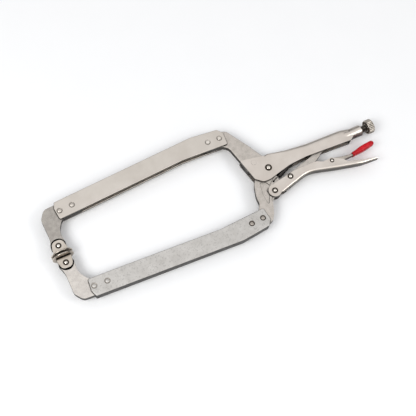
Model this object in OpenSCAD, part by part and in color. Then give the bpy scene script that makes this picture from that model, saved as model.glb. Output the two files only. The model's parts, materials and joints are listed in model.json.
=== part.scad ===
// Deep-reach locking C-clamp pliers with swivel pads.
// The tool lies flat: +X runs from the jaws to the adjusting knob, +Z is up, and the
// sheet-metal halves are symmetric about z = 0. Arms mirror each other about y = 0.
// Inside each module the main pivot is at x = 0; placed() moves it to the row origin.

/* [Arms] */
// Length of one arm channel, end to end
arm_length = 243; // [200:1:300]
// Distance from the centre line to the back of an arm at its front end
arm_half_front = 67.5; // [55:0.5:80]
// Distance from the centre line to the back of an arm at its highest point
arm_half_rear = 79; // [68:0.5:92]
// Depth of an arm channel, from its back to its open edge
arm_depth = 24.6; // [20.5:0.1:29.5]
// Thickness of the arm channel sheet
arm_sheet = 2.5; // [1.5:0.1:3.2]
// Shank diameter of the arm rivets
arm_rivet_d = 5.2; // [4:0.1:6.4]

/* [Forged jaws] */
// Thickness of the four jaw forgings
forging_t = 7.8; // [6.4:0.1:9.4]
// Width of a tip jaw between its elbow and its pad
tip_neck = 15; // [12.5:0.5:18]
// Radius of the lower jaw around the main pivot
hub_r = 9.5; // [7.9:0.1:11.4]

/* [Swivel pads] */
// Diameter of a swivel pad
pad_d = 28; // [23:0.1:34]
// Thickness of the pad's plate
pad_t = 1.8; // [1.5:0.1:2.2]
// Gap between the two closed pads
pad_gap = 2.4; // [1.2:0.1:3]
// Height of a pad rivet above its pad's face
pad_pivot_h = 10.7; // [10.4:0.1:12.9]
// Width of a pad's ears where they meet the plate
ear_w = 19; // [16.5:0.5:23]
// Thickness of one pad ear
ear_t = 2; // [1.5:0.1:2.4]
// Shank diameter of the pad rivets
pad_rivet_d = 5; // [4:0.1:6]

/* [Handles] */
// Length of the upper handle shell behind the main pivot
upper_len = 140.8; // [117:0.1:169]
// Length of the lower handle behind the main pivot
lower_len = 143; // [134:1:160]
// Thickness of the handle sheet
handle_sheet = 2.4; // [1.8:0.1:3]
// Shank diameter of the main pivot rivet
main_pin_d = 7; // [5.5:0.1:8.4]
// Shank diameter of the lower handle rivet and of the link pin
handle_pin_d = 5.6; // [4.6:0.1:6.7]
// Shank diameter of the release lever pin
lever_pin_d = 4; // [3.2:0.1:4.8]

/* [Adjusting screw] */
// Outside diameter of the screw's thread
screw_d = 9.2; // [7.6:0.1:11.1]
// Wall of the round tube that holds the screw
tube_wall = 3; // [2.5:0.1:3.6]
// Diameter of the knurled knob
knob_d = 19.6; // [16.3:0.1:23.6]
// Length of the knurled knob
knob_len = 9.6; // [8:0.1:11.6]
// Thread showing between the tube and the knob
screw_out = 9.2; // [6:0.1:14]

/* [Toggle link and lever] */
// Depth of the toggle link bar
link_depth = 9; // [7.4:0.1:10]
// Gap between the toggle link's tip and the adjusting screw
link_tip_gap = 5.6; // [5.2:0.1:8]
// Length of the vinyl sleeve on the release lever
sleeve_len = 38; // [31:1:44]

/* [Spring] */
// Outside diameter of the tension spring
spring_d = 6.4; // [5.2:0.1:7]
// Wire diameter of the tension spring
spring_wire = 1; // [0.8:0.1:1.2]

/* [Fits] */
// Radial clearance of a pin that turns in its hole
run_fit = 0.05; // [0.03:0.01:0.09]
// Gap on each side of a flat piece that moves between two walls
side_gap = 0.2; // [0.1:0.05:0.4]

/* [Hidden] */
$fn = 48;

// Colours
nickel = [0.84, 0.82, 0.79];
forged = [0.78, 0.76, 0.72];
dark_steel = [0.42, 0.41, 0.40];
vinyl_red = [0.80, 0.07, 0.12];

// Half thicknesses, measured from z = 0
forging_z = forging_t / 2;
arm_z = forging_z + arm_sheet;
shell_in_z = forging_z + side_gap;
shell_z = shell_in_z + handle_sheet;
web_z = forging_z - 0.9;
lower_in_z = web_z + side_gap;
lower_z = lower_in_z + handle_sheet;
bar_z = lower_in_z - side_gap;
ear_in_z = bar_z + side_gap;
ear_z = ear_in_z + ear_t;

// Main pivot and the fixed points of the linkage
pivot = [0, -2.6];
handle_pivot = pivot + [-7.2, -32.1];
link_pivot = pivot + [20.8, -22.7];
screw_y = pivot[1] - 0.4;
lever_pivot = pivot + [82, -25.6];
spring_hole = pivot + [-2.2, -19.1];
spring_hook = pivot + [54, 4.6];

lug_w = 2.4;
lug_h = 5.6;
plug_at = pivot + [-14.4, 14.4];
plug_d = 7;

// Handles: the shell's plates end here, and the ears of the lower handle have this radius
shell_end_x = upper_len - 22;
ear_out_r = 8.6;
recess_r = ear_out_r + 0.9;

// The lever's tail, which the sleeve follows
tail_start = lever_pivot + [29, -2.8];
tail_dir = unit([32, 4.1]);
tail_end = tail_start + tail_dir * (sleeve_len - 5);
tail_w = 3.2;

// Arm channel: x of its two ends and of the bends in its back
arm_rear_x = -31;
arm_front_x = arm_rear_x - arm_length;
arm_high_x = arm_rear_x - 44;
arm_slope = (arm_half_rear - arm_half_front) / (arm_high_x - (arm_front_x + 3));
function arm_back(x) = arm_half_rear - arm_slope * (arm_high_x - x);
function arm_open(x) = arm_back(x) - arm_depth;
front_rivet_x = [arm_front_x + 5.6, arm_front_x + 22.6];
rear_rivet_x = [arm_rear_x - 25, arm_rear_x - 8.6];
front_rivets = [for (x = front_rivet_x) [x, arm_back(x) - arm_depth / 2 - 1.2]];
rear_rivets = [[rear_rivet_x[0], arm_half_rear - 15.8], [rear_rivet_x[1], arm_half_rear - 16.7]];
tongue_front_x = arm_front_x + 32;
tongue_rear_x = arm_rear_x - 35;
tongue_fit = 0.05;

// Pads
pad_x = arm_front_x - 13.5;
pad_face_y = pad_gap / 2;
pad_pivot = [pad_x, pad_face_y + pad_pivot_h];
ear_bend_r = ear_t + 0.9;
ear_weld = 0.3;
ear_r = 7.2;
thin_r = ear_r + 2.4;
tip_r = pad_pivot_h - pad_t - ear_t - 0.5;
tip_shoulder = tip_neck / 2 + 2.3;

// Screw and knob
tube_d = screw_d + 2 * tube_wall;
tube_swell = 22;
link_tip_r = 4;
link_tip = [83, screw_y];
screw_tip_x = link_tip[0] + link_tip_gap;
knob_x = upper_len + screw_out;
knob_end_x = knob_x + knob_len;
screw_stub = knob_len - 2;
knurl_n = 24;

// Row origin: the middle of the whole tool
row_x = (knob_end_x + pad_x - pad_d / 2) / 2;

module placed() { translate([-row_x, 0, 0]) children(); }

// Extrudes a flat outline to both sides of z = 0
module plate(half_t) { translate([0, 0, -half_t]) linear_extrude(2 * half_t) children(); }

// Corner list [x, y, radius] to a path with true arcs at the corners
function unit(v) = v / norm(v);
function corner_arc(a, b, c, r, n) =
    let (u = unit([a[0] - b[0], a[1] - b[1]]), v = unit([c[0] - b[0], c[1] - b[1]]),
        half = acos(max(-1, min(1, u * v))) / 2)
    r == 0 || half > 89.5 ? [[b[0], b[1]]] :
    let (reach = min(r / tan(half), 0.48 * norm([a[0] - b[0], a[1] - b[1]]),
            0.48 * norm([c[0] - b[0], c[1] - b[1]])),
        rr = reach * tan(half), p = [b[0], b[1]] + u * reach, q = [b[0], b[1]] + v * reach,
        m = [b[0], b[1]] + unit(u + v) * rr / sin(half),
        a0 = atan2(p[1] - m[1], p[0] - m[0]), a1 = atan2(q[1] - m[1], q[0] - m[0]),
        turn = a1 - a0 > 180 ? a1 - a0 - 360 : a1 - a0 < -180 ? a1 - a0 + 360 : a1 - a0)
    [for (i = [0:n]) m + rr * [cos(a0 + turn * i / n), sin(a0 + turn * i / n)]];
function each_r(p, r) = [p[0], p[1], r];
function rounded(pts, n = 6) = let (k = len(pts))
    [for (i = [0:k - 1]) each corner_arc(pts[(i + k - 1) % k], pts[i], pts[(i + 1) % k], pts[i][2], n)];

// Straight cylinder through both sides
module hole(at, d, half_t = 30) { translate([at[0], at[1], -half_t]) cylinder(d = d, h = 2 * half_t); }

// Domed cap: a slice of a sphere
module dome(d, h) {
    ball = (d * d / 4 + h * h) / (2 * h);
    intersection() {
        cylinder(d = d, h = h);
        translate([0, 0, h - ball]) sphere(ball, $fn = 96);
    }
}

// Rivet with a domed head on both faces of a joint that is 2 * grip_z thick
module rivet(at, d, head_d, head_h, grip_z) {
    translate([at[0], at[1], 0]) {
        translate([0, 0, -grip_z]) cylinder(d = d, h = 2 * grip_z);
        for (s = [0, 1]) mirror([0, 0, s]) translate([0, 0, grip_z]) dome(head_d, head_h);
    }
}

// ---- Arms ----

module arm_outline() {
    polygon(rounded([
        [arm_front_x, arm_back(arm_front_x) - 8, 3],
        [arm_front_x + 3, arm_half_front, 0],
        [arm_high_x, arm_half_rear, 30],
        [arm_rear_x - 6, arm_half_rear - 4, 1.5],
        [arm_rear_x, arm_half_rear - 11.5, 3],
        [arm_rear_x - 2, arm_half_rear - 28.7, 2],
        [tongue_rear_x - 2, arm_open(arm_high_x) - 2.4, 12],
        [arm_high_x - 22, arm_open(arm_high_x - 22), 0],
        [tongue_front_x + 4, arm_open(tongue_front_x + 4), 0],
        [arm_front_x + 1.6, arm_open(arm_front_x) + 0.5, 2.5]]));
}

// What lies inside the channel: the outline less the back wall
module arm_inside() {
    intersection() {
        arm_outline();
        translate([0, -arm_sheet]) polygon([
            [arm_front_x - 20, arm_back(arm_front_x - 20)],
            [arm_high_x, arm_half_rear],
            [arm_rear_x + 20, arm_half_rear - 4 * (64 / 38)],
            [arm_rear_x + 20, 0], [arm_front_x - 20, 0]]);
    }
}

module arm_channel() {
    difference() {
        plate(arm_z) arm_outline();
        plate(forging_z) union() {
            arm_inside();
            translate([arm_front_x - 30, 0]) square([33, 200]);
            translate([arm_rear_x - 6, 0]) square([40, 200]);
            translate([arm_front_x, 0]) square([arm_length, arm_open(arm_front_x) + 6]);
        }
        for (p = concat(front_rivets, rear_rivets)) hole(p, arm_rivet_d);
    }
}

module arm_rivets(points) {
    for (p = points) rivet(p, arm_rivet_d, arm_rivet_d + 2.2, 1.1, arm_z);
}

// ---- Tip jaws ----

// Tongue inside the channel, elbow, neck and round tip
module tip_outline() {
    outer_x = pad_x - tip_neck / 2 + 1.2;
    inner_x = outer_x + tip_neck;
    elbow_y = arm_open(arm_front_x);
    polygon(rounded([
        [tongue_front_x, arm_open(tongue_front_x) + 0.5, 1],
        [tongue_front_x - 2, arm_back(tongue_front_x) - arm_sheet - tongue_fit - 2, 2],
        [tongue_front_x - 5, arm_back(tongue_front_x - 5) - arm_sheet - tongue_fit, 3],
        [arm_front_x + 4, arm_back(arm_front_x + 4) - arm_sheet - tongue_fit, 2],
        [outer_x + 7.5, arm_half_front - 3.4, 9],
        [outer_x - 0.4, elbow_y + 10, 9],
        [outer_x, elbow_y - 14, 20],
        [outer_x - 0.4, pad_pivot[1] + 11, 10],
        [pad_x - tip_shoulder, pad_pivot[1] + 1.5, 5],
        [pad_x - tip_shoulder, pad_pivot[1] - 3, 3],
        [pad_x + tip_shoulder, pad_pivot[1] - 3, 3],
        [pad_x + tip_shoulder, pad_pivot[1] + 2, 6],
        [inner_x, pad_pivot[1] + 10, 10],
        [inner_x, elbow_y - 17, 16],
        [inner_x + 1.8, elbow_y - 10, 16],
        [inner_x + 8.6, elbow_y + 0.5, 10],
        [arm_front_x + 12, arm_open(arm_front_x + 12) + 0.4, 6]]));
    translate(pad_pivot) circle(tip_r);
}

module tip_jaw() {
    difference() {
        union() {
            plate(bar_z) tip_outline();
            plate(forging_z) difference() {
                tip_outline();
                translate(pad_pivot) circle(thin_r);
                translate([pad_x - 40, pad_pivot[1] - 60]) square([80, 60]);
            }
        }
        for (p = front_rivets) hole(p, arm_rivet_d);
        hole(pad_pivot, pad_rivet_d);
    }
}

module pad_rivet() {
    rivet(pad_pivot, pad_rivet_d, pad_rivet_d + 2.4, 1.3, ear_z + side_gap / 2);
}

// Cross-section of the U-shaped bracket: x is the distance from the plate, y is along the rivet
module ear_section() {
    reach = pad_pivot_h - pad_t + ear_r + 1;
    polygon(rounded([
        [-ear_weld, -ear_z, ear_bend_r],
        [-ear_weld, ear_z, ear_bend_r],
        [reach, ear_z, 0],
        [reach, ear_in_z, 0],
        [ear_t, ear_in_z, ear_bend_r - ear_t],
        [ear_t, -ear_in_z, ear_bend_r - ear_t],
        [reach, -ear_in_z, 0],
        [reach, -ear_z, 0]], 8));
}

// Outline of the bracket's two ears, seen along the rivet
module ear_outline() {
    base_y = pad_face_y + pad_t;
    polygon(rounded([
        [pad_x - ear_w / 2, base_y - ear_weld, 0],
        [pad_x + ear_w / 2, base_y - ear_weld, 0],
        [pad_x + ear_w / 2, base_y + ear_bend_r, 3],
        [pad_x + ear_r, pad_pivot[1] + ear_r, ear_r - 0.3],
        [pad_x - ear_r, pad_pivot[1] + ear_r, ear_r - 0.3],
        [pad_x - ear_w / 2, base_y + ear_bend_r, 3]], 10));
}

// Round plate with a recessed grip face, and the bracket on its back
module swivel_pad() {
    rim = 2.5;
    recess = 0.5;
    edge = 0.5;
    difference() {
        union() {
            translate([pad_x, pad_face_y, 0]) rotate([-90, 0, 0]) rotate_extrude($fn = 96)
                polygon([[0, recess], [pad_d / 2 - rim - recess, recess], [pad_d / 2 - rim, 0],
                    [pad_d / 2 - edge, 0], [pad_d / 2, edge], [pad_d / 2, pad_t - edge],
                    [pad_d / 2 - edge, pad_t], [0, pad_t]]);
            intersection() {
                translate([pad_x - pad_d / 2, pad_face_y + pad_t, 0]) rotate([90, 0, 90])
                    linear_extrude(pad_d) ear_section();
                plate(2 * ear_z) ear_outline();
            }
        }
        hole(pad_pivot, pad_rivet_d + 2 * run_fit);
    }
}

// ---- Root forgings ----

module fixed_root_outline() {
    difference() {
        polygon(rounded([
            [tongue_rear_x, arm_open(arm_high_x) - 0.7, 2],
            [tongue_rear_x, arm_half_rear - arm_sheet - tongue_fit - 7, 4],
            [tongue_rear_x + 10, arm_half_rear - arm_sheet - tongue_fit - 2.6, 8],
            [arm_rear_x - 5, arm_half_rear - arm_sheet - tongue_fit - 4.1, 2],
            [arm_rear_x + 5, arm_half_rear - 10.2, 9],
            [-8.8, pivot[1] + 40.6, 40],
            [0.6, pivot[1] + 21, 8],
            [3.2, pivot[1] + 16.2, 2],
            [14, pivot[1] + 13, 1],
            [12, pivot[1] + 9, 2],
            [-27, pivot[1] + 5, 3],
            [-28.4, pivot[1] + 22, 20],
            [arm_rear_x - 2.6, arm_half_rear - 34, 12],
            [arm_rear_x - 10, arm_half_rear - 28.6, 8]]));
        translate(pivot) circle(hub_r + 1.2);
    }
}

module fixed_jaw_root() {
    color(forged) placed() difference() {
        plate(forging_z) fixed_root_outline();
        for (p = rear_rivets) hole(p, arm_rivet_d);
        hole(plug_at, plug_d);
    }
}

module fixed_jaw_plug() {
    color(nickel) placed() translate([plug_at[0], plug_at[1], -shell_z - 0.2])
        cylinder(d = plug_d, h = 2 * shell_z + 0.4);
}

module lower_root_outline() {
    back_y = -(arm_half_rear - arm_sheet - tongue_fit);
    polygon(rounded([
        [tongue_rear_x, -(arm_open(arm_high_x) - 0.7), 2],
        [tongue_rear_x, back_y + 7, 4],
        [tongue_rear_x + 10, back_y + 2.6, 8],
        [arm_rear_x - 5, back_y + 4.1, 2],
        [arm_rear_x + 3, -(arm_half_rear - 9.6), 5],
        [-23, -(arm_half_rear - 16.5), 5],
        [handle_pivot[0] - 7.6, handle_pivot[1] - 9, 8],
        [handle_pivot[0] + 4, handle_pivot[1] - 6, 3],
        [handle_pivot[0] + 7, handle_pivot[1] + 3, 3],
        [5.4, spring_hole[1] - 4, 4],
        [5.4, spring_hole[1] + 6, 4],
        [3, pivot[1] - 6, 1],
        [-6, pivot[1] - 3, 1],
        [-22.4, pivot[1] - 5.4, 4],
        [-28.6, pivot[1] - 15, 30],
        [-33.4, pivot[1] - 31, 30],
        [-33.6, -(arm_half_rear - 36.4), 8],
        [arm_rear_x - 8, -(arm_half_rear - 28.7), 6]]));
    translate(pivot) circle(hub_r);
    translate(handle_pivot) circle(ear_out_r - 0.6);
}

// Sunk panel between the two ribs of the lower root
module lower_pocket() {
    polygon(rounded([
        [-14.5, pivot[1] - 12.5, 2],
        [-20.3, pivot[1] - 14.5, 1.5],
        [-24, pivot[1] - 30, 20],
        [-23.7, pivot[1] - 44.5, 1.2],
        [-21.6, pivot[1] - 44.3, 1.2],
        [-16.4, pivot[1] - 35.4, 3],
        [-16.4, pivot[1] - 27, 3],
        [-9, pivot[1] - 22, 2]]));
}

// Where the ears of the lower handle lie against the lower root as it swings
module ear_recess() {
    translate(handle_pivot) circle(recess_r);
    translate(handle_pivot + [-3.4, -11.5]) circle(6.4);
    for (to = [[18, 14.5], [18, -14]]) translate(handle_pivot)
        polygon([unit([-to[1], to[0]]) * recess_r, to + unit([-to[1], to[0]]) * recess_r,
            to - unit([-to[1], to[0]]) * recess_r, -unit([-to[1], to[0]]) * recess_r]);
}

module lower_jaw_root() {
    color(forged) placed() difference() {
        union() {
            plate(web_z) lower_root_outline();
            plate(forging_z) difference() {
                lower_root_outline();
                ear_recess();
                lower_pocket();
            }
        }
        for (p = rear_rivets) hole([p[0], -p[1]], arm_rivet_d);
        hole(pivot, main_pin_d + 2 * run_fit);
        hole(handle_pivot, handle_pin_d);
        hole(spring_hole, 2.8);
    }
}

// ---- Upper handle ----

module shell_outline() {
    polygon(rounded([
        [-29.6, pivot[1] + 24, 0.8],
        [-29.2, pivot[1] + 20, 6],
        [-23.6, pivot[1] - 7.4, 4],
        [-14.5, pivot[1] - 15.4, 7],
        [-5, pivot[1] - 15.6, 10],
        [9, pivot[1] - 12.2, 30],
        [29, pivot[1] - 7.8, 40],
        [52.7, pivot[1] - 6.4, 80],
        [shell_end_x + 1.4, pivot[1] - 10, 2],
        [shell_end_x + 6.4, screw_y - tube_d / 2 + 1.2, 1],
        [shell_end_x + 6.4, screw_y, 0],
        [shell_end_x + 5.4, screw_y + tube_d / 2 - 1, 0],
        [shell_end_x + 3.8, screw_y + tube_d / 2 + 0.6, 0.6],
        [shell_end_x - 6, pivot[1] + 10, 30],
        [63, pivot[1] + 11.2, 80],
        [31.7, pivot[1] + 13.8, 60],
        [7, pivot[1] + 18.9, 5],
        [3.2, pivot[1] + 17.4, 0.8]]));
}

// The space inside the shell, open along the bottom and at the nose
module shell_inside() {
    polygon([
        [-60, pivot[1] - 40], [-60, pivot[1] + 60], [3.4, pivot[1] + 60],
        [3.4, pivot[1] + 19.2 - handle_sheet], [31.7, pivot[1] + 13.6 - handle_sheet],
        [63, pivot[1] + 11 - handle_sheet], [shell_end_x - 6, pivot[1] + 9.8 - handle_sheet],
        [shell_end_x + 1, screw_y + tube_d / 2 - handle_sheet],
        [shell_end_x + 1, pivot[1] - 40]]);
}

module upper_handle_shell() {
    color(nickel) placed() difference() {
        union() {
            difference() {
                plate(shell_z) shell_outline();
                plate(shell_in_z) shell_inside();
            }
            // Round tube for the screw, which swells out of the side plates
            translate([shell_end_x, screw_y, 0]) rotate([0, 90, 0])
                cylinder(d = tube_d, h = upper_len - shell_end_x);
            translate([shell_end_x - tube_swell, screw_y, 0]) rotate([0, 90, 0])
                cylinder(d1 = 2 * shell_in_z, d2 = tube_d, h = tube_swell);
            // Lug that the spring hooks on
            translate([spring_hook[0] - lug_w / 2, spring_hook[1] - 1, -shell_in_z])
                cube([lug_w, lug_h, 2 * shell_in_z]);
        }
        translate([screw_tip_x - 1, screw_y, 0]) rotate([0, 90, 0])
            cylinder(d = screw_d + 2 * run_fit, h = upper_len);
        hole(pivot, main_pin_d);
        hole(plug_at, plug_d);
    }
}

module main_pivot_rivet() {
    color(nickel) placed() rivet(pivot, main_pin_d, main_pin_d + 2.2, 1.6, shell_z);
}

// ---- Adjusting screw ----

module adjusting_screw() {
    color(dark_steel) placed() union() {
        translate([screw_tip_x + 1, screw_y, 0]) rotate([0, 90, 0])
            cylinder(d = screw_d, h = knob_x - screw_tip_x - 1);
        translate([screw_tip_x, screw_y, 0]) rotate([0, 90, 0])
            cylinder(d1 = screw_d - 2, d2 = screw_d, h = 1);
        translate([knob_x, screw_y, 0]) rotate([0, 90, 0])
            cylinder(d = screw_d - 2, h = screw_stub);
    }
}

module adjusting_knob() {
    neck_d = screw_d + 4.8;
    body_len = knob_len - side_gap;
    color(nickel) placed() translate([knob_x + side_gap, screw_y, 0]) rotate([0, 90, 0])
        difference() {
            union() {
                cylinder(d1 = neck_d, d2 = knob_d - 2, h = 0.8);
                translate([0, 0, 0.8]) cylinder(d1 = knob_d - 2, d2 = knob_d, h = 1);
                translate([0, 0, 1.8]) cylinder(d = knob_d, h = body_len - 3.2);
                translate([0, 0, body_len - 1.4]) cylinder(d1 = knob_d, d2 = knob_d - 2.4, h = 1.4);
            }
            translate([0, 0, -1]) cylinder(d = screw_d - 2 + 2 * run_fit, h = screw_stub + 1);
            // Straight knurl
            for (i = [0:knurl_n - 1]) rotate([0, 0, i * 360 / knurl_n])
                translate([knob_d / 2, 0, 1.8]) cylinder(d = 1, h = knob_len);
        }
}

// ---- Lower handle ----

module lower_outline() {
    translate(handle_pivot) circle(ear_out_r);
    polygon(rounded([
        [handle_pivot[0] + 1, handle_pivot[1] - 8, 1],
        [1, pivot[1] - 37.2, 1.2],
        [4.6, pivot[1] - 38.6, 1.5],
        [24, pivot[1] - 33, 30],
        [46, pivot[1] - 27.4, 40],
        [86, pivot[1] - 38.6, 90],
        [116, pivot[1] - 46, 60],
        [lower_len - 2, pivot[1] - 47.9, 3],
        [lower_len, pivot[1] - 45.8, 1.2],
        [lower_len - 21, pivot[1] - 41.6, 40],
        [101, pivot[1] - 35.4, 6],
        [97, pivot[1] - 30, 8],
        [83, pivot[1] - 21.4, 6],
        [70, pivot[1] - 22.4, 6],
        [62, pivot[1] - 17.6, 14],
        [28, pivot[1] - 17.6, 30],
        [12, pivot[1] - 20.4, 4],
        [handle_pivot[0] + 4.6, handle_pivot[1] + 9.4, 3],
        [handle_pivot[0] - 1, handle_pivot[1] + 7, 1]], 8));
}

// The space inside the lower handle, open towards the upper one
module lower_inside() {
    t = handle_sheet;
    polygon([
        [-40, pivot[1] - 60], [4.6 + t, pivot[1] - 60], [4.6 + t, pivot[1] - 37.8 + t],
        [24, pivot[1] - 32.6 + t], [46, pivot[1] - 27.8 + t], [58, pivot[1] - 30.6 + t],
        [86, pivot[1] - 38.2 + t], [116, pivot[1] - 45.4 + t],
        [lower_len - 14, pivot[1] - 46.6 + t], [lower_len - 14, pivot[1]], [-40, pivot[1]]]);
}

module lower_handle_shell() {
    color(nickel) placed() difference() {
        plate(lower_z) lower_outline();
        plate(lower_in_z) lower_inside();
        hole(handle_pivot, handle_pin_d + 2 * run_fit);
        hole(link_pivot, handle_pin_d);
        hole(lever_pivot, lever_pin_d);
    }
}

module lower_handle_pivot_rivet() {
    color(nickel) placed()
        rivet(handle_pivot, handle_pin_d, handle_pin_d + 2.2, 1.4, lower_z + side_gap / 2);
}

module link_pin() {
    color(nickel) placed() rivet(link_pivot, handle_pin_d, handle_pin_d + 2.2, 1.4, lower_z);
}

module release_lever_pin() {
    color(nickel) placed() rivet(lever_pivot, lever_pin_d, lever_pin_d + 1.8, 1, lower_z);
}

// ---- Toggle link and release lever ----

module toggle_link() {
    half = link_depth / 2;
    along = unit([62, -14.6] - link_pivot);
    side = [-along[1], along[0]];
    eye = half + 0.6;
    tip = link_tip - [link_tip_r, 0];
    color(forged) placed() difference() {
        plate(bar_z) polygon(rounded([
            each_r(link_pivot - along * eye + side * eye, eye - 0.1),
            each_r(link_pivot + along * 8 + side * half, 6),
            each_r([62, -14.6] + side * half, 14),
            each_r(tip + [-4, link_tip_r], 8),
            each_r(tip + [link_tip_r, link_tip_r], link_tip_r - 0.1),
            each_r(tip + [link_tip_r, -link_tip_r], link_tip_r - 0.1),
            each_r([67.5, -16.6], 12),
            each_r([62, -14.6] - side * half, 14),
            each_r(link_pivot + along * 8 - side * half, 6),
            each_r(link_pivot - along * eye - side * eye, eye - 0.1)], 8));
        hole(link_pivot, handle_pin_d + 2 * run_fit);
    }
}

// Strip of width w between two points
module bar(from, to, w) {
    side = [-unit(to - from)[1], unit(to - from)[0]] * w / 2;
    polygon([from + side, to + side, to - side, from - side]);
}

module release_lever() {
    half = tail_w / 2;
    side = [-tail_dir[1], tail_dir[0]];
    color(dark_steel) placed() difference() {
        plate(bar_z) polygon(rounded([
            each_r(lever_pivot + [-13.6, 1.2], 1.4),
            each_r(lever_pivot + [-13.6, -3.4], 1.4),
            each_r(lever_pivot + [-3, -5.4], 3),
            each_r(lever_pivot + [14, -4.4], 8),
            each_r(tail_start - side * half, 6),
            each_r(tail_end - side * half, 1),
            each_r(tail_end + side * half, 1),
            each_r(tail_start + side * half, 6),
            each_r(lever_pivot + [16, 0.6], 8),
            each_r(lever_pivot + [3, 4], 4),
            each_r(lever_pivot + [-4, 3.6], 4)], 8));
        hole(lever_pivot, lever_pin_d + 2 * run_fit);
    }
}

// Dipped vinyl sleeve: a closed sock over the lever's tail
module release_lever_grip() {
    grip_z = bar_z + 2;
    reach = sleeve_len - 5;
    color(vinyl_red) placed() difference() {
        translate([tail_start[0], tail_start[1], 0])
            rotate([0, 0, atan2(tail_dir[1], tail_dir[0])]) plate(grip_z)
            polygon(rounded([
                [1.6, -2.6, 1], [reach * 0.55, -4.4, 20], [reach + 5, -3.7, 4],
                [reach + 5, 3.6, 4], [reach * 0.6, 4.1, 20], [1.6, 2.9, 1]], 10));
        plate(bar_z) bar(tail_start - tail_dir * 4, tail_end, tail_w);
    }
}

// ---- Spring ----

// Close-wound tension spring; a wire loop at its front end passes through the lower jaw
module tension_spring() {
    gap = spring_hook - spring_hole;
    length = norm(gap);
    coil_from = 12;
    coil_len = length - coil_from - 5;
    loop_in = forging_z + side_gap;
    bore = spring_d - 2 * spring_wire;
    color(dark_steel) placed() translate([spring_hole[0], spring_hole[1], 0])
        rotate([0, 0, atan2(gap[1], gap[0])]) rotate([0, 90, 0]) union() {
            translate([0, 0, coil_from]) difference() {
                cylinder(d = spring_d, h = coil_len);
                translate([0, 0, -1]) cylinder(d = bore, h = coil_len + 2);
            }
            // The end turns cross the coil to reach its two straight ends
            for (z = [coil_from, coil_from + coil_len - spring_wire])
                translate([-spring_d / 2 + spring_wire / 2, -spring_wire / 2, z])
                    cube([spring_d - spring_wire, spring_wire, spring_wire]);
            translate([0, 0, coil_from - 2]) cylinder(d = spring_wire, h = 2.5);
            translate([0, 0, length - 5.5]) cylinder(d = spring_wire, h = 4);
            translate([0, spring_wire / 2, 0]) rotate([90, 0, 0]) linear_extrude(spring_wire)
                difference() {
                    translate([-loop_in - spring_wire, -spring_wire / 2])
                        square([2 * (loop_in + spring_wire), coil_from - 1]);
                    translate([-loop_in, spring_wire / 2])
                        square([2 * loop_in, coil_from - 1 - 2 * spring_wire]);
                }
        }
}

// ---- Placed sub-parts ----

module upper_arm_channel() { color(nickel) placed() arm_channel(); }
module lower_arm_channel() { color(nickel) placed() mirror([0, 1, 0]) arm_channel(); }
module upper_tip_jaw() { color(forged) placed() tip_jaw(); }
module lower_tip_jaw() { color(forged) placed() mirror([0, 1, 0]) tip_jaw(); }
module upper_arm_rear_rivets() { color(nickel) placed() arm_rivets(rear_rivets); }
module upper_arm_front_rivets() { color(nickel) placed() arm_rivets(front_rivets); }
module lower_arm_rear_rivets() { color(nickel) placed() mirror([0, 1, 0]) arm_rivets(rear_rivets); }
module lower_arm_front_rivets() { color(nickel) placed() mirror([0, 1, 0]) arm_rivets(front_rivets); }
module upper_pad_rivet() { color(nickel) placed() pad_rivet(); }
module lower_pad_rivet() { color(nickel) placed() mirror([0, 1, 0]) pad_rivet(); }
module upper_swivel_pad() { color(nickel) placed() swivel_pad(); }
module lower_swivel_pad() { color(nickel) placed() mirror([0, 1, 0]) swivel_pad(); }

upper_handle_shell();
fixed_jaw_root();
fixed_jaw_plug();
main_pivot_rivet();
upper_arm_channel();
upper_tip_jaw();
upper_arm_rear_rivets();
upper_arm_front_rivets();
upper_pad_rivet();
upper_swivel_pad();
adjusting_screw();
adjusting_knob();
lower_jaw_root();
lower_arm_channel();
lower_tip_jaw();
lower_arm_rear_rivets();
lower_arm_front_rivets();
lower_pad_rivet();
lower_swivel_pad();
lower_handle_pivot_rivet();
lower_handle_shell();
link_pin();
toggle_link();
release_lever_pin();
release_lever();
release_lever_grip();
tension_spring();
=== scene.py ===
"""Deep-reach locking pliers: materials, detailed pieces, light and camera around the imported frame."""
import json
import math

import bmesh
import bpy
from mathutils import Matrix, Vector
from mathutils.bvhtree import BVHTree


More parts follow.
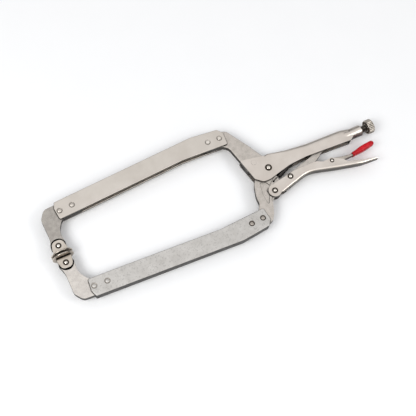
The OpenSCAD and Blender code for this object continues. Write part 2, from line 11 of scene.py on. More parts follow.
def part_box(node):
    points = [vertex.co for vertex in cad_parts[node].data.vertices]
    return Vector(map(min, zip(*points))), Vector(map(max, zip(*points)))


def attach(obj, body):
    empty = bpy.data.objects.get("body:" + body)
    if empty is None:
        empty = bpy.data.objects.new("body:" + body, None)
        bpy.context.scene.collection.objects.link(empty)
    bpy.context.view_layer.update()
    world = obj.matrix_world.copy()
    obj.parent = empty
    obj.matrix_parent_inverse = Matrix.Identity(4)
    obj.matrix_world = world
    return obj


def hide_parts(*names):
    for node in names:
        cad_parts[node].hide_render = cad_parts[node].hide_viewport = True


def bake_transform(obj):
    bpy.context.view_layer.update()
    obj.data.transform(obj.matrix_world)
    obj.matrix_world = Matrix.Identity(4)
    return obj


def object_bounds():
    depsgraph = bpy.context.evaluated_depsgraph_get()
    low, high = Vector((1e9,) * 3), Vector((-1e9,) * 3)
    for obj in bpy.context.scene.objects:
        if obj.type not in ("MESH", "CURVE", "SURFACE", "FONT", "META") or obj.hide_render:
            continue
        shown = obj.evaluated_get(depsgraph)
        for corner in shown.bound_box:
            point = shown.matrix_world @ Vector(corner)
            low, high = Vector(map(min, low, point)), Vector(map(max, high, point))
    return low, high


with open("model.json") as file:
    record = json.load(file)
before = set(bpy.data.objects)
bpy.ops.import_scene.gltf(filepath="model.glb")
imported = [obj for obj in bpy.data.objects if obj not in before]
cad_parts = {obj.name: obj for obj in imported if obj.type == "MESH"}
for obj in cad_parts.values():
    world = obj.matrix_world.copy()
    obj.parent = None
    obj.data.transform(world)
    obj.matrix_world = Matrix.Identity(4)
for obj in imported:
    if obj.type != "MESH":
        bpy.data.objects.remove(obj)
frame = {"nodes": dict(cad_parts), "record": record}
cad_low, cad_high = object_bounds()
MM = 0.001
ROW_X = 70.95  # the main pivot's place along X, in millimetres
NEAR_ZERO = 0.001  # radius that closes a turned profile on its axis, in millimetres
MERGE = 2e-6  # vertices closer than this are one, in metres
FLAT = math.radians(0.6)  # faces that turn less than this are one


# ---- Camera ----
# Pinhole camera: focal length in pixels, tilt angles and offset from the tool's top plane
FOCAL_PX = 850
IMAGE_PX = 416
SENSOR = 36.0
tilt = (
    Matrix.Rotation(math.radians(-22.66), 3, "X")
    @ Matrix.Rotation(math.radians(3.96), 3, "Y")
    @ Matrix.Rotation(math.radians(26.40), 3, "Z")
)
look_at = Vector((-16.05, 0, 6.4))
offset = Vector((0, 21.48, -FOCAL_PX / 0.78))
camera_data = bpy.data.cameras.new("camera")
camera_data.sensor_width = SENSOR
camera_data.lens = FOCAL_PX / IMAGE_PX * SENSOR
camera_data.clip_start = 0.05
camera = bpy.data.objects.new("camera", camera_data)
place = (look_at - tilt.transposed() @ offset) * MM
camera.matrix_world = Matrix.Translation(place) @ tilt.transposed().to_4x4()
bpy.context.scene.collection.objects.link(camera)
bpy.context.scene.camera = camera


# ---- Materials ----
class Shader:
    """A Principled material and short calls for the nodes that drive it."""

    def __init__(self, name, color, **sockets):
        self.mat = bpy.data.materials.new(name)
        self.mat.use_nodes = True
        self.tree = self.mat.node_tree
        self.bsdf = self.tree.nodes["Principled BSDF"]
        self.bsdf.inputs["Base Color"].default_value = (*color, 1)
        for key, value in sockets.items():
            self.bsdf.inputs[key.replace("_", " ")].default_value = value
        self.coords = self.node("ShaderNodeTexCoord")
        self.height = None

    def node(self, kind, **props):
        made = self.tree.nodes.new(kind)
        for key, value in props.items():
            setattr(made, key, value)
        return made

    def link(self, a, b):
        self.tree.links.new(a, b)

    def spread(self, stretch):
        """Object coordinates in millimetres, stretched."""
        mapping = self.node("ShaderNodeMapping")
        mapping.inputs["Scale"].default_value = tuple(1000 * s for s in stretch)
        self.link(self.coords.outputs["Object"], mapping.inputs["Vector"])
        return mapping.outputs["Vector"]

    def noise(self, size, detail=2.0, stretch=(1, 1, 1), rough=0.5):
        """Noise whose blotches are about size millimetres across."""
        made = self.node("ShaderNodeTexNoise")
        made.inputs["Scale"].default_value = 1 / size
        made.inputs["Detail"].default_value = detail
        made.inputs["Roughness"].default_value = rough
        self.link(self.spread(stretch), made.inputs["Vector"])
        return made.outputs["Fac"]

    def cells(self, size):
        made = self.node("ShaderNodeTexVoronoi")
        made.inputs["Scale"].default_value = 1 / size
        self.link(self.spread((1, 1, 1)), made.inputs["Vector"])
        return made.outputs["Distance"]

    def remap(self, value, low, high, to_low, to_high):
        made = self.node("ShaderNodeMapRange")
        for key, number in (("From Min", low), ("From Max", high), ("To Min", to_low), ("To Max", to_high)):
            made.inputs[key].default_value = number
        self.link(value, made.inputs["Value"])
        return made.outputs["Result"]

    def tint(self, factor, first, second):
        """Blends the colour between two tones by a factor."""
        made = self.node("ShaderNodeMix", data_type="RGBA")
        self.link(factor, made.inputs[0])
        current = self.bsdf.inputs["Base Color"]
        if first is None and current.links:
            self.link(current.links[0].from_socket, made.inputs[6])
        else:
            made.inputs[6].default_value = (*first, 1)
        made.inputs[7].default_value = (*second, 1)
        self.link(made.outputs[2], current)

    def paint_steep_face_shade(self, color, steep=0.25, flat=0.88):
        """A darker tone, painted shade, where the surface stands on edge: sheared walls and bent backs
        alike.
        """
        axes = self.node("ShaderNodeSeparateXYZ")
        self.link(self.coords.outputs["Normal"], axes.inputs[0])
        upright = self.node("ShaderNodeMath", operation="ABSOLUTE")
        self.link(axes.outputs["Z"], upright.inputs[0])
        self.tint(self.remap(upright.outputs[0], steep, flat, 1, 0), None, color)

    def paint_seam_shade(self, reach=1.6):
        """Painted shade in the seams between pieces, reach millimetres wide."""
        seam = self.node("ShaderNodeAmbientOcclusion")
        seam.inputs["Distance"].default_value = reach * MM
        # near-black painted shade where the occlusion node finds surfaces close by
        self.tint(self.remap(seam.outputs["AO"], 0.50, 0.93, 1, 0), None, (0.03, 0.025, 0.02))

    def rough(self, value, low, high):
        self.link(self.remap(value, 0.3, 0.7, low, high), self.bsdf.inputs["Roughness"])

    def bump(self, value, depth, strength=1.0):
        """Adds a layer of relief, depth in millimetres."""
        made = self.node("ShaderNodeBump")
        made.inputs["Strength"].default_value = strength
        made.inputs["Distance"].default_value = depth * MM
        self.link(value, made.inputs["Height"])
        if self.height is not None:
            self.link(self.height, made.inputs["Normal"])
        self.height = made.outputs["Normal"]
        self.link(self.height, self.bsdf.inputs["Normal"])


def satin_nickel(name, light, shade, low, high, grain, edge=0.12):
    """Plated sheet metal: soft blotches, a fine grain, and faint drawn lines."""
    s = Shader(name, light, Metallic=1.0)
    s.tint(s.remap(s.noise(22, 3), 0.35, 0.65, 0, 1), light, shade)
    s.rough(s.noise(9, 4), low, high)
    s.bump(s.noise(14, 2), 0.10, 0.35)
    s.bump(s.noise(0.8, 3), grain, 0.6)
    s.bump(s.noise(0.35, 2, (0.06, 1, 1)), grain * 0.5, 0.4)
    # Painted shade: faces on edge darken towards edge times the shade tone, and the seams between pieces
    # darken too.
    s.paint_steep_face_shade(tuple(edge * c for c in shade))
    s.paint_seam_shade()
    return s.mat


def forged_nickel(name, light, shade, grain):
    """Plated forging: shot-blasted pits under the plating."""
    s = Shader(name, light, Metallic=1.0)
    s.tint(s.remap(s.noise(6, 4), 0.35, 0.65, 0, 1), light, shade)
    s.tint(s.remap(s.noise(1.3, 2), 0.56, 0.72, 0, 0.55), None, tuple(0.6 * c for c in shade))
    s.rough(s.noise(4, 3), 0.42, 0.58)
    s.bump(s.noise(1.5, 4, rough=0.6), grain, 0.8)
    s.bump(s.cells(1.2), grain * 0.6, 0.5)
    # Painted shade: faces on edge and the seams between pieces darken.
    s.paint_steep_face_shade(tuple(0.12 * c for c in shade))
    s.paint_seam_shade()
    return s.mat


def speckled_nickel(name, light, shade):
    """Plated channel with an orange-peel skin and sandy specks."""
    s = Shader(name, light, Metallic=1.0)
    s.tint(s.remap(s.noise(11, 3), 0.35, 0.65, 0, 1), light, shade)
    s.tint(s.remap(s.noise(1.9, 2), 0.55, 0.68, 0, 0.5), None, tuple(0.62 * c for c in shade))
    s.rough(s.noise(5, 3), 0.40, 0.56)
    s.bump(s.noise(2.0, 3), 0.07, 0.8)
    s.bump(s.cells(1.6), 0.03, 0.5)
    # Painted shade: faces on edge and the seams between pieces darken.
    s.paint_steep_face_shade(tuple(0.12 * c for c in shade))
    s.paint_seam_shade()
    return s.mat


NICKEL = (0.74, 0.68, 0.62)
NICKEL_SHADE = (0.66, 0.60, 0.54)
GREY = (0.66, 0.64, 0.61)
GREY_SHADE = (0.58, 0.56, 0.53)

shell_mat = satin_nickel("shell_nickel", NICKEL, NICKEL_SHADE, 0.30, 0.42, 0.012)
channel_mat = satin_nickel("channel_nickel", (0.72, 0.67, 0.61), (0.66, 0.61, 0.55), 0.34, 0.46, 0.014)
grey_mat = speckled_nickel("channel_grey", GREY, GREY_SHADE)
forged_mat = forged_nickel("forged_nickel", (0.66, 0.61, 0.56), (0.56, 0.52, 0.47), 0.05)
# Darker and lighter copies of the forged nickel: painted shade on the upper tip jaw, painted light on the
# lower one.
forged_shaded_mat = forged_nickel("forged_shaded", (0.50, 0.47, 0.43), (0.40, 0.37, 0.34), 0.07)
forged_lit_mat = forged_nickel("forged_lit", (0.74, 0.70, 0.65), (0.64, 0.60, 0.56), 0.05)
rivet_mat = satin_nickel("rivet_nickel", (0.84, 0.79, 0.73), (0.74, 0.69, 0.62), 0.18, 0.30, 0.006, 0.5)
rivet_dull_mat = satin_nickel("rivet_dull", (0.52, 0.48, 0.43), (0.42, 0.38, 0.34), 0.35, 0.5, 0.02)
pad_mat = satin_nickel("pad_nickel", (0.72, 0.66, 0.59), (0.56, 0.50, 0.43), 0.24, 0.38, 0.012, 0.8)
knob_mat = satin_nickel("knob_nickel", (0.56, 0.51, 0.45), (0.44, 0.40, 0.35), 0.22, 0.36, 0.01, 0.8)
lever_mat = satin_nickel("lever_steel", (0.50, 0.45, 0.40), (0.38, 0.34, 0.30), 0.28, 0.42, 0.012)


# A dark metal: the screw's own tone, and painted shade for the spring and the grooves of the rivets and the
# knob.
def dark_steel_and_shade(name, light, shade, low, high):
    s = Shader(name, light, Metallic=0.9)
    s.tint(s.remap(s.noise(3, 3), 0.35, 0.65, 0, 1), light, shade)
    s.rough(s.noise(2, 3), low, high)
    s.bump(s.noise(0.5, 2), 0.01, 0.6)
    return s.mat


screw_mat = dark_steel_and_shade("screw_steel", (0.16, 0.14, 0.12), (0.09, 0.08, 0.07), 0.3, 0.45)
# The spring's near-black tone is painted shade for the shell's shadow over it.
spring_mat = dark_steel_and_shade("spring_steel", (0.10, 0.09, 0.085), (0.05, 0.045, 0.04), 0.3, 0.45)
# Near-black painted shade for the ring round the rivet heads and for the knob's sunk front face
groove_shade_mat = dark_steel_and_shade("rivet_groove_shade", (0.10, 0.08, 0.06), (0.05, 0.04, 0.03), 0.5, 0.7)


def vinyl():
    """Dipped vinyl: glossy, with slow thickness waves and a fine skin."""
    s = Shader("red_vinyl", (0.55, 0.004, 0.008), IOR=1.45, Specular_IOR_Level=0.2,
               Coat_Weight=0.12, Coat_Roughness=0.08)
    s.tint(s.remap(s.noise(7, 2), 0.3, 0.7, 0, 1), (0.62, 0.010, 0.020), (0.42, 0.004, 0.010))
    s.rough(s.noise(3, 2), 0.22, 0.34)
    s.bump(s.noise(5, 2), 0.12, 0.5)
    s.bump(s.noise(0.6, 2), 0.008, 0.5)
    return s.mat


vinyl_mat = vinyl()


# ---- Mesh helpers ----
def new_object(name, mesh, *materials):
    if mesh.materials:
        mesh.materials.clear()
    for material in materials:
        mesh.materials.append(material)
    obj = bpy.data.objects.new(name, mesh)
    bpy.context.scene.collection.objects.link(obj)
    return obj


def finish_piece(obj, body, slot, *nodes, angle=34):
    """Shades a finished piece, puts it on its body and hides its CAD nodes."""
    for face in obj.data.polygons:
        face.use_smooth = True
    obj.data.set_sharp_from_angle(angle=math.radians(angle))
    even = obj.modifiers.new("even_normals", "WEIGHTED_NORMAL")
    even.keep_sharp = True
    even.weight = 80
    if body:
        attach(obj, body)
    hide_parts(*nodes)


def clean_copy(node):
    """A CAD node's mesh with its triangles merged into flat faces."""
    mesh = frame["nodes"][node].data.copy()
    mesh.name = node + "_skin"
    bm = bmesh.new()
    bm.from_mesh(mesh)
    bmesh.ops.remove_doubles(bm, verts=bm.verts, dist=MERGE)
    bmesh.ops.dissolve_limit(bm, angle_limit=FLAT, verts=bm.verts, edges=bm.edges)
    for face in bm.faces:
        face.material_index = 0
    bm.to_mesh(mesh)
    bm.free()
    return mesh


def back_line(mesh, top_z, looks, from_x, to_x):
    """Part of a plate's outline: the points whose side wall passes looks(normal, y), sorted along X,
    thinned, and drawn out 3 mm past both ends. from_x and to_x count from the main pivot."""
    bm = bmesh.new()
    bm.from_mesh(mesh)
    found = {}
    for edge in bm.edges:
        if len(edge.link_faces) != 2:
            continue
        if min(v.co.z for v in edge.verts) < (top_z - 0.05) * MM:
            continue
        for vert in edge.verts:
            y = vert.co.y / MM
            if not any(abs(f.normal.z) < 0.2 and looks(f.normal, y) for f in edge.link_faces):
                continue
            if from_x <= vert.co.x / MM - ROW_X <= to_x:
                found[round(vert.co.x / MM, 2)] = vert.co.y / MM
    bm.free()
    kept = []
    for point in sorted(found.items()):
        if not kept or point[0] - kept[-1][0] > 2.5:
            kept.append(point)
    for end, beside, place in ((kept[0], kept[1], 0), (kept[-1], kept[-2], len(kept) + 1)):
        slope = (end[1] - beside[1]) / (end[0] - beside[0])
        reach = 3 if end[0] > beside[0] else -3
        kept.insert(place, (end[0] + reach, end[1] + reach * slope))
    return kept


class Build:
    """Collects the vertices and faces of one mesh, in millimetres."""

    def __init__(self):
        self.points = []
        self.faces = []
        self.numbers = []

    def ring(self, points):
        first = len(self.points)
        self.points += [tuple(p) for p in points]
        return list(range(first, len(self.points)))

    def skin(self, a, b, number=0):
        for i, here in enumerate(a):
            j = (i + 1) % len(a)
            self.faces.append((here, a[j], b[j], b[i]))
            self.numbers.append(number)

    def cap(self, ring, number=0):
        self.faces.append(tuple(ring))
        self.numbers.append(number)

    def loft(self, loops, numbers=None):
        """Joins closed loops of equal length, and closes both ends."""
        rings = [self.ring(loop) for loop in loops]
        for i in range(len(rings) - 1):
            self.skin(rings[i], rings[i + 1], numbers[i] if numbers else 0)
        self.cap(rings[0], numbers[0] if numbers else 0)
        self.cap(rings[-1], numbers[-1] if numbers else 0)

    def turned(self, profile, centre, axis="z", segments=40, radius_at=None):
        """A body turned about an axis; profile holds (radius, height, material number)."""
        loops = []
        for radius, height, _ in profile:
            loop = []
            for k in range(segments):
                turn = 2 * math.pi * k / segments
                wide = radius_at(radius, height, turn) if radius_at else radius
                a, b = wide * math.cos(turn), wide * math.sin(turn)
                loop.append((centre[0] + height, centre[1] + a, centre[2] + b) if axis == "x"
                            else (centre[0] + a, centre[1] + b, centre[2] + height))
            loops.append(loop)
        self.loft(loops, [number for _, _, number in profile])

    def wire(self, path, radius, sides=8):
        """A round wire along a list of points."""
        path = [Vector(p) for p in path]
        side = (path[1] - path[0]).orthogonal().normalized()
        loops = []
        for i, point in enumerate(path):
            along = (path[min(i + 1, len(path) - 1)] - path[max(i - 1, 0)]).normalized()
            side = (side - along * side.dot(along)).normalized()
            up = along.cross(side)
            loops.append([point + radius * (math.cos(t) * side + math.sin(t) * up)
                          for t in (2 * math.pi * k / sides for k in range(sides))])
        self.loft(loops)

    def mesh(self, name):
        mesh = bpy.data.meshes.new(name)
        mesh.from_pydata([(x * MM, y * MM, z * MM) for x, y, z in self.points], [], self.faces)
        for face, number in zip(mesh.polygons, self.numbers):
            face.material_index = number
        bm = bmesh.new()
        bm.from_mesh(mesh)
        bmesh.ops.remove_doubles(bm, verts=bm.verts, dist=1e-7)
        bmesh.ops.recalc_face_normals(bm, faces=bm.faces)
        bm.to_mesh(mesh)
        bm.free()
        return mesh


def carve(obj, cutter):
    """Takes the cutter's volume out of obj."""
    tool = new_object("cutter", cutter)
    cut = obj.modifiers.new("cut", "BOOLEAN")
    cut.operation = "DIFFERENCE"
    cut.solver = "EXACT"
    cut.object = tool
    depsgraph = bpy.context.evaluated_depsgraph_get()
    carved = bpy.data.meshes.new_from_object(obj.evaluated_get(depsgraph))
    obj.modifiers.clear()
    obj.data = carved
    bpy.data.objects.remove(tool)


def round_back(obj, line, face_z, reach, drop, step=0.0):
    """Rounds both long edges of a folded sheet's back, whose outline is line. The corner is an
    ellipse with half axes reach(x) along the plate and drop(x) across it, step below the plate."""
    outside = 1 if line[0][1] > 0 else -1
    proud = 0.004  # keeps the curve's ends off the sheet's own faces
    for side in (1, -1):
        loops = []
        for i, (x, y) in enumerate(line):
            ahead, behind = line[min(i + 1, len(line) - 1)], line[max(i - 1, 0)]
            slope = Vector((ahead[0] - behind[0], ahead[1] - behind[1])).normalized()
            out = Vector((-slope.y, slope.x)) * outside
            a, b = reach(x - ROW_X), drop(x - ROW_X)
            section = [(1.5, face_z - step - b)]
            for k in range(11):
                t = math.pi / 2 * k / 10
                section.append((-a + (a + proud) * math.cos(t),
                                face_z - step - b + (b + proud) * math.sin(t)))
            section += [(-a - step, face_z + 0.02), (-a - step, face_z + 1), (1.5, face_z + 1)]
            loops.append([(x + out.x * u, y + out.y * u, side * w) for u, w in section])
        build = Build()
        build.loft(loops)
        carve(obj, build.mesh("back_cutter"))


def soften(mesh, edge):
    """Rounds sharp outer edges by edge millimetres, or by less if that would throw up a spike."""
    source = bmesh.new()
    source.from_mesh(mesh)
    bmesh.ops.remove_doubles(source, verts=source.verts, dist=MERGE)
    bmesh.ops.dissolve_limit(source, angle_limit=FLAT, verts=source.verts, edges=source.edges)
    skin = BVHTree.FromBMesh(source)
    for share in (1, 0.7, 0.45, 0.25, 0.1):
        bm = source.copy()
        sharp = [e for e in bm.edges if len(e.link_faces) == 2 and e.is_convex
                 and e.calc_face_angle(0) > math.radians(36)]
        bmesh.ops.bevel(bm, geom=sharp, offset=share * edge * MM, offset_type="OFFSET", segments=3,
                        profile=0.5, affect="EDGES", clamp_overlap=False, miter_outer="ARC")
        strays = max(skin.find_nearest(v.co)[3] for v in bm.verts)
        if strays < 0.5 * share * edge * MM:
            break
        bm.free()
    else:
        bm = source.copy()
    bmesh.ops.remove_doubles(bm, verts=bm.verts, dist=2 * MERGE)
    bmesh.ops.recalc_face_normals(bm, faces=bm.faces)
    bm.to_mesh(mesh)
    bm.free()
    source.free()


def refined(node, slot, material, edge, rounding=None):
    """A CAD node's own shape with rounded edges; rounding(obj) may shape it first."""
    obj = new_object(node + "_skin", clean_copy(node), material)
    if rounding:
        rounding(obj)
    soften(obj.data, edge)
    finish_piece(obj, BODY_OF[node], slot, node)


def smoothstep(low, high, value):
    t = max(0.0, min(1.0, (value - low) / (high - low)))
    return t * t * (3 - 2 * t)


BODY_OF = {n: b for b, names in frame["record"]["behaviour"]["bodies"].items() for n in names}


# ---- Arms ----
refined("upper_arm_channel", "channel_nickel", channel_mat, 0.9)
refined("lower_arm_channel", "channel_grey", grey_mat, 0.9)

# ---- Forgings ----
refined("fixed_jaw_root", "forged_nickel", forged_mat, 0.9)
refined("upper_tip_jaw", "forged_nickel", forged_shaded_mat, 0.9)
refined("lower_jaw_root", "forged_nickel", forged_mat, 0.5)
refined("lower_tip_jaw", "forged_nickel", forged_lit_mat, 0.9)
refined("fixed_jaw_plug", "shell_nickel", shell_mat, 0.15)


# ---- Handles ----
# Half the thickness of the two folded handles at their side plates, in millimetres. The shell's
# box can't give it, since the box takes in the thicker tube at the end.
SHELL_Z = 6.5
LOWER_Z = 5.6


def shell_rounding(obj):
    line = back_line(obj.data, SHELL_Z, lambda n, y: n.y > 0.75, from_x=4, to_x=124)
    round_back(obj, line, SHELL_Z, lambda x: 2.0 + 3.6 * smoothstep(14, 60, x),
               lambda x: 2.0 + 3.0 * smoothstep(14, 60, x), 0.22)


refined("upper_handle_shell", "shell_nickel", shell_mat, 0.4, shell_rounding)


def lower_rounding(obj):
    line = back_line(obj.data, LOWER_Z, lambda n, y: n.y < -0.8 and y < -29, from_x=4, to_x=140)
    round_back(obj, line, LOWER_Z, lambda x: 3.4, lambda x: 3.2)
    for vert in obj.data.vertices:
        vert.co.z *= 1 - 0.42 * smoothstep(112, 143, vert.co.x / MM - ROW_X)


refined("lower_handle_shell", "shell_nickel", shell_mat, 0.4, lower_rounding)
refined("toggle_link", "forged_nickel", forged_mat, 0.5)
refined("release_lever", "lever_steel", lever_mat, 0.5)
for side in ("upper", "lower"):
    refined(side + "_swivel_pad", "pad_nickel", pad_mat, 0.3)


# ---- Vinyl sleeve ----
# Where the lever's bar enters the sleeve, in millimetres with X counted from the main pivot, and
# the direction of the bar from there
SLEEVE_MOUTH = (111, -31)
LEVER_RUN = (32, 4.1)


def sleeve():
    """A sock of dipped vinyl: an open lip, a waist, a belly and a round end."""
    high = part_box("release_lever_grip")[1] / MM
    bar_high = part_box("release_lever")[1] / MM
    heading = Vector((*LEVER_RUN, 0)).normalized()
    across = Vector((-heading.y, heading.x, 0))
    start = Vector((SLEEVE_MOUTH[0] + ROW_X, SLEEVE_MOUTH[1], 0)) + heading * 1.7
    length = (high.x - start.x - 0.2) / heading.x
    bar_z = bar_high.z + 0.06
    thick = high.z

    def loop(t, half_w, half_z, square, lift=0.0):
        points = []
        for k in range(32):
            turn = 2 * math.pi * k / 32
            c, d = math.cos(turn), math.sin(turn)
            points.append(start + heading * t + across * (lift + half_w * math.copysign(abs(c) ** square, c))
                          + Vector((0, 0, half_z * math.copysign(abs(d) ** square, d))))
        return points

    def belly(t):
        return 2.75 + 1.35 * smoothstep(0, 0.55, t) - 0.45 * smoothstep(0.7, 1, t)

    loops = [loop(length - 6, 1.66, bar_z, 0.2), loop(1, 1.66, bar_z, 0.2), loop(0.3, 1.9, bar_z + 0.2, 0.3),
             loop(0, 2.2, bar_z + 0.7, 0.5), loop(0.15, 2.55, thick - 0.45, 0.62),
             loop(0.8, 2.75, thick - 0.25, 0.66)]
    for k in range(1, 13):
        t = k / 12
        half_z = thick - 0.15 + 0.1 * math.sin(3 * t)
        loops.append(loop(0.8 + (length - 5.6) * t, belly(t), half_z, 0.68, 0.15 * t))
    end_w = belly(1)
    for k in range(1, 8):
        turn = math.pi / 2 * k / 8
        loops.append(loop(length - 4.8 + 4.7 * math.sin(turn), end_w * math.cos(turn) ** 0.9,
                          (thick - 0.12) * math.cos(turn) ** 0.8, 0.7 + 0.3 * k / 8, 0.15))
    build = Build()
    build.loft(loops)
    return build.mesh("release_lever_sleeve")


finish_piece(new_object("release_lever_sleeve", sleeve(), vinyl_mat), "release_lever", "red_vinyl",
             "release_lever_grip")


# ---- Rivets ----
def islands(node):
    """Middle, head radius and top of each separate solid of a CAD node, in millimetres."""
    bm = bmesh.new()
    bm.from_mesh(frame["nodes"][node].data)
    bmesh.ops.remove_doubles(bm, verts=bm.verts, dist=MERGE)
    left = set(bm.verts)
    found = []
    while left:
        stack = [left.pop()]
        points = []
        while stack:
            vert = stack.pop()
            points.append(vert.co / MM)
            for edge in vert.link_edges:
                other = edge.other_vert(vert)
                if other in left:
                    left.remove(other)
                    stack.append(other)
        low = [min(p[i] for p in points) for i in range(3)]
        high = [max(p[i] for p in points) for i in range(3)]
        found.append(((low[0] + high[0]) / 2, (low[1] + high[1]) / 2, (high[0] - low[0]) / 2, high[2]))
    bm.free()
    return sorted(found)


def head_profile(radius, height, style):
    """Half section of a rivet head from its middle outwards: (radius, height, material number)."""
    profile = []
    if style == "dome":
        for k in range(9):
            turn = math.pi / 2 * k / 8
            profile.append((0.62 * radius * math.sin(turn), height * (0.25 + 0.75 * math.cos(turn)), 0))
        groove, rim = 0.10 * height, 0.50 * height
    elif style == "low":
        for k in range(6):
            turn = math.pi / 2 * k / 5
            profile.append((0.64 * radius * math.sin(turn), height * (0.34 + 0.16 * math.cos(turn)), 0))
        groove, rim = 0.16 * height, 0.36 * height
    else:
        profile += [(0, 0.42 * height, 0), (0.30 * radius, 0.40 * height, 0),
                    (0.62 * radius, 0.36 * height, 0)]
        groove, rim = 0.20 * height, 0.46 * height
    profile += [(0.66 * radius, groove, 1), (0.84 * radius, groove, 1), (0.88 * radius, rim * 0.8, 1),
                (0.93 * radius, rim * 0.9, 1), (0.97 * radius, rim * 0.6, 1), (radius, 0.0, 1)]
    return profile


def rivets(node, shank_r, head_h, styles, *materials):
    """A CAD node's rivets from island to island: one style each, middle material, then rim material."""
    build = Build()
    for (x, y, radius, top), style in zip(islands(node), styles):
        face_z = top - head_h
        half = [(max(r, NEAR_ZERO), face_z + h, m) for r, h, m in head_profile(radius, head_h, style)]
        half += [(radius, face_z - 0.03, 0), (shank_r, face_z - 0.03, 0)]
        whole = half + [(r, -z, m) for r, z, m in reversed(half)]
        build.turned(whole, (x, y, 0))
    obj = new_object(node + "_skin", build.mesh(node + "_skin"), *materials)
    finish_piece(obj, BODY_OF[node], "rivet_nickel", node, angle=50)


# Where the groove material is the rim material, the ring round the head carries painted shade.
rivets("main_pivot_rivet", 3.5, 1.6, ("dome",), rivet_mat, groove_shade_mat)
rivets("lower_handle_pivot_rivet", 2.8, 1.4, ("dome",), rivet_mat, groove_shade_mat)
rivets("link_pin", 2.8, 1.4, ("dome",), rivet_mat, groove_shade_mat)
rivets("release_lever_pin", 2.0, 1.0, ("dome",), rivet_mat, groove_shade_mat)
rivets("upper_pad_rivet", 2.5, 1.3, ("dome",), rivet_mat, groove_shade_mat)
rivets("lower_pad_rivet", 2.5, 1.3, ("dome",), rivet_mat, groove_shade_mat)
rivets("upper_arm_rear_rivets", 2.6, 1.1, ("low", "low"), rivet_mat, rivet_dull_mat)
rivets("upper_arm_front_rivets", 2.6, 1.1, ("flat", "flat"), channel_mat, rivet_dull_mat)
rivets("lower_arm_rear_rivets", 2.6, 1.1, ("flat", "flat"), rivet_dull_mat, groove_shade_mat)
rivets("lower_arm_front_rivets", 2.6, 1.1, ("flat", "flat"), grey_mat, rivet_dull_mat)


# ---- Adjusting screw and knob ----
def thread():
    """The screw's real thread; its pitch is what the joints' coupling makes of one turn."""
    low, high = (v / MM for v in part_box("adjusting_screw"))
    knob_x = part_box("adjusting_knob")[0].x / MM
    ratio = next(c["ratio"] for c in frame["record"]["behaviour"]["couplings"] if c["joint"] == "knob_turn")
    pitch = 2 * math.pi / ratio / MM
    crest = (high.z - low.z) / 2 - 0.06  # just inside the CAD rod
    root = crest - 0.62 * pitch
    samples = 6
    profile = [(crest - 1.2, low.x, 0)]
    count = int((knob_x - low.x - 1.0) / pitch * samples)
    profile += [(crest, low.x + 0.8 + pitch * k / samples, 0) for k in range(count)]
    profile += [(crest - 1.05, knob_x, 0), (crest - 1.05, high.x, 0)]
    first, last = low.x + 0.8, low.x + 0.8 + pitch * (count - 1) / samples

    def radius_at(radius, x, turn):
        if x < first - 0.01 or x > last + 0.01:
            return radius
        phase = ((x - first) / pitch - turn / (2 * math.pi)) % 1
        ridge = max(0.0, min(1.0, (1 - abs(2 * phase - 1)) * 1.35 - 0.18))
        fade = smoothstep(first, first + pitch, x) * smoothstep(last, last - 0.6 * pitch, x)
        return root + (crest - root) * ridge * (0.35 + 0.65 * fade)

    build = Build()
    build.turned(profile, (0, (low.y + high.y) / 2, 0), "x", 32, radius_at)
    return build.mesh("adjusting_screw_skin")


finish_piece(new_object("adjusting_screw_skin", thread(), screw_mat), BODY_OF["adjusting_screw"],
             "screw_steel", "adjusting_screw", angle=60)


def knob():
    """Knurled knob with a sunk front face and a dished back."""
    low, high = (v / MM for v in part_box("adjusting_knob"))
    radius, length = (high.z - low.z) / 2, high.x - low.x
    ribs, depth = 24, 0.9
    hub = 0.56 * radius
    # Material number 1 marks the sunk front face, which carries the groove material's painted shade.
    profile = [(NEAR_ZERO, 2.0, 1), (hub - 1.2, 2.0, 1), (hub - 1.2, 0.1, 0), (hub - 0.9, 0.0, 0),
               (hub - 0.2, 0.0, 0), (hub, 0.2, 1), (hub, 1.0, 1), (0.80 * radius, 1.0, 1),
               (0.82 * radius, 0.75, 0), (radius - 1.1, 0.25, 0), (radius - 0.6, 0.5, 0),
               (radius - 0.12, 1.2, 0), (radius, 1.8, 0), (radius, length * 0.5, 0),
               (radius, length - 1.7, 0), (radius - 0.15, length - 1.1, 0), (radius - 0.8, length - 0.35, 0),
               (radius - 1.4, length - 0.05, 0), (radius - 2.2, length, 0), (radius - 2.6, length - 0.3, 0),
               (radius * 0.4, length - 0.6, 0), (NEAR_ZERO, length - 0.6, 0)]

    def radius_at(r, height, turn):
        edge = smoothstep(0.7, 2.0, height) * smoothstep(length - 0.6, length - 1.8, height)
        wave = 0.5 + 0.5 * math.cos(ribs * turn)
        return r - depth * edge * (1 - wave ** 0.6) if r > radius - 1 else r

    build = Build()
    build.turned(profile, (low.x, (low.y + high.y) / 2, 0), "x", ribs * 6, radius_at)
    return build.mesh("adjusting_knob_skin")


finish_piece(new_object("adjusting_knob_skin", knob(), knob_mat, groove_shade_mat), BODY_OF["adjusting_knob"],
             "knob_nickel", "adjusting_knob", angle=50)


# ---- Tension spring ----
# Middles of the two ends, in millimetres with X counted from the main pivot: the hole in the lower
# jaw and the lug in the upper handle
SPRING_HOLE = (-2.2, -21.7)
SPRING_LUG = (54, 2.0)


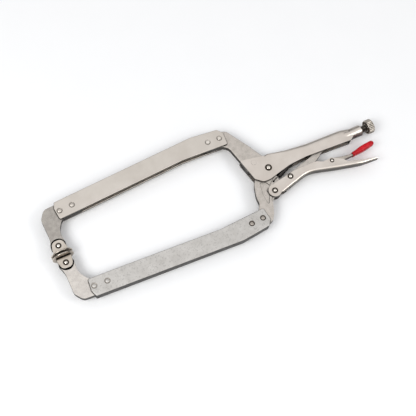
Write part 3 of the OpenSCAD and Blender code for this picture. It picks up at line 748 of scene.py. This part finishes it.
def spring():
    """A close-wound coil with a loop through the lower jaw and a hook over the lug in the upper handle."""
    hole = Vector((SPRING_HOLE[0] + ROW_X, SPRING_HOLE[1], 0))
    hook = Vector((SPRING_LUG[0] + ROW_X, SPRING_LUG[1], 0))
    along = (hook - hole).normalized()
    up = Vector((0, 0, 1))
    flat = along.cross(up)
    wire_r, coil_r = 0.5, 2.7
    from_t, to_t = 12.0, (hook - hole).length - 6.0
    turns = int((to_t - from_t) / (2.1 * wire_r))
    loop_z = 4.7  # the loop passes clear of both sides of the lower jaw's web
    path = []
    for k in range(25):
        turn = math.pi * (0.5 + k / 24)
        path.append(hole + along * (2.2 + 2.2 * math.cos(turn)) + up * loop_z * math.sin(turn))
    path = [hole + along * 8.5 + up * 1.4, hole + along * 6.5 + up * (loop_z - 0.6),
            hole + along * 4.4 + up * loop_z] + path
    path += [hole + along * 5.0 - up * loop_z, hole + along * 8.0 - up * (loop_z - 0.8),
             hole + along * 10.4 - up * 2.0]
    steps = 18
    for k in range(turns * steps + 1):
        turn = 2 * math.pi * k / steps - math.pi / 2
        t = from_t + (to_t - from_t) * k / (turns * steps)
        path.append(hole + along * t + coil_r * (math.cos(turn) * flat + math.sin(turn) * up))
    for k in range(1, 10):
        turn = math.pi * k / 9
        path.append(hook - along * (5.2 - 3.4 * math.sin(turn / 2))
                    - up * coil_r * math.cos(turn) * (1 - 0.25 * k / 9))
    build = Build()
    build.wire(path, wire_r)
    obj = new_object("tension_spring_skin", build.mesh("tension_spring_skin"), spring_mat)
    finish_piece(obj, None, "spring_steel", "tension_spring", angle=60)
    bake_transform(obj)


spring()

# ---- Floor and light ----
floor_z = cad_low[2] - 0.05 * MM
bpy.ops.mesh.primitive_plane_add(size=6, location=(0, 0, floor_z))
floor = bpy.context.object
floor.name = "floor"
floor_shader = Shader("pale_floor", (0.93, 0.935, 0.94), Roughness=0.9, Specular_IOR_Level=0.1)
clouds = floor_shader.remap(floor_shader.noise(60, 2), 0.3, 0.7, 0, 1)
floor_shader.tint(clouds, (0.955, 0.96, 0.965), (0.945, 0.95, 0.955))
floor.data.materials.append(floor_shader.mat)

world = bpy.data.worlds.new("studio")
bpy.context.scene.world = world
world.use_nodes = True
sky = world.node_tree.nodes["Background"]
coords = world.node_tree.nodes.new("ShaderNodeTexCoord")
axes = world.node_tree.nodes.new("ShaderNodeSeparateXYZ")
band = world.node_tree.nodes.new("ShaderNodeValToRGB")
world.node_tree.links.new(coords.outputs["Generated"], axes.inputs[0])
world.node_tree.links.new(axes.outputs["Z"], band.inputs[0])
world.node_tree.links.new(band.outputs[0], sky.inputs["Color"])
# Height over the horizon and brightness: a dark room's walls, then a bright ceiling
SKY = ((0.0, 0.02), (0.30, 0.03), (0.58, 0.62), (0.80, 0.92), (1.0, 1.0))
for place, value in SKY[1:-1]:
    band.color_ramp.elements.new(place)
for element, (place, value) in zip(band.color_ramp.elements, SKY):
    element.position = place
    element.color = (value, value, value * 1.01, 1)
sky.inputs["Strength"].default_value = 1.0


def softbox(name, place, size, power, target=(0, 0, 0)):
    data = bpy.data.lights.new(name, "AREA")
    data.shape = "RECTANGLE"
    data.size, data.size_y = size
    data.energy = power
    lamp = bpy.data.objects.new(name, data)
    lamp.location = place
    lamp.rotation_euler = (Vector(target) - Vector(place)).to_track_quat("-Z", "Y").to_euler()
    bpy.context.scene.collection.objects.link(lamp)


softbox("key", (-1.1, -0.3, 1.3), (0.9, 0.7), 12)
softbox("fill", (0.9, -0.8, 1.2), (0.6, 0.6), 5)
bpy.context.scene.view_settings.view_transform = "Standard"
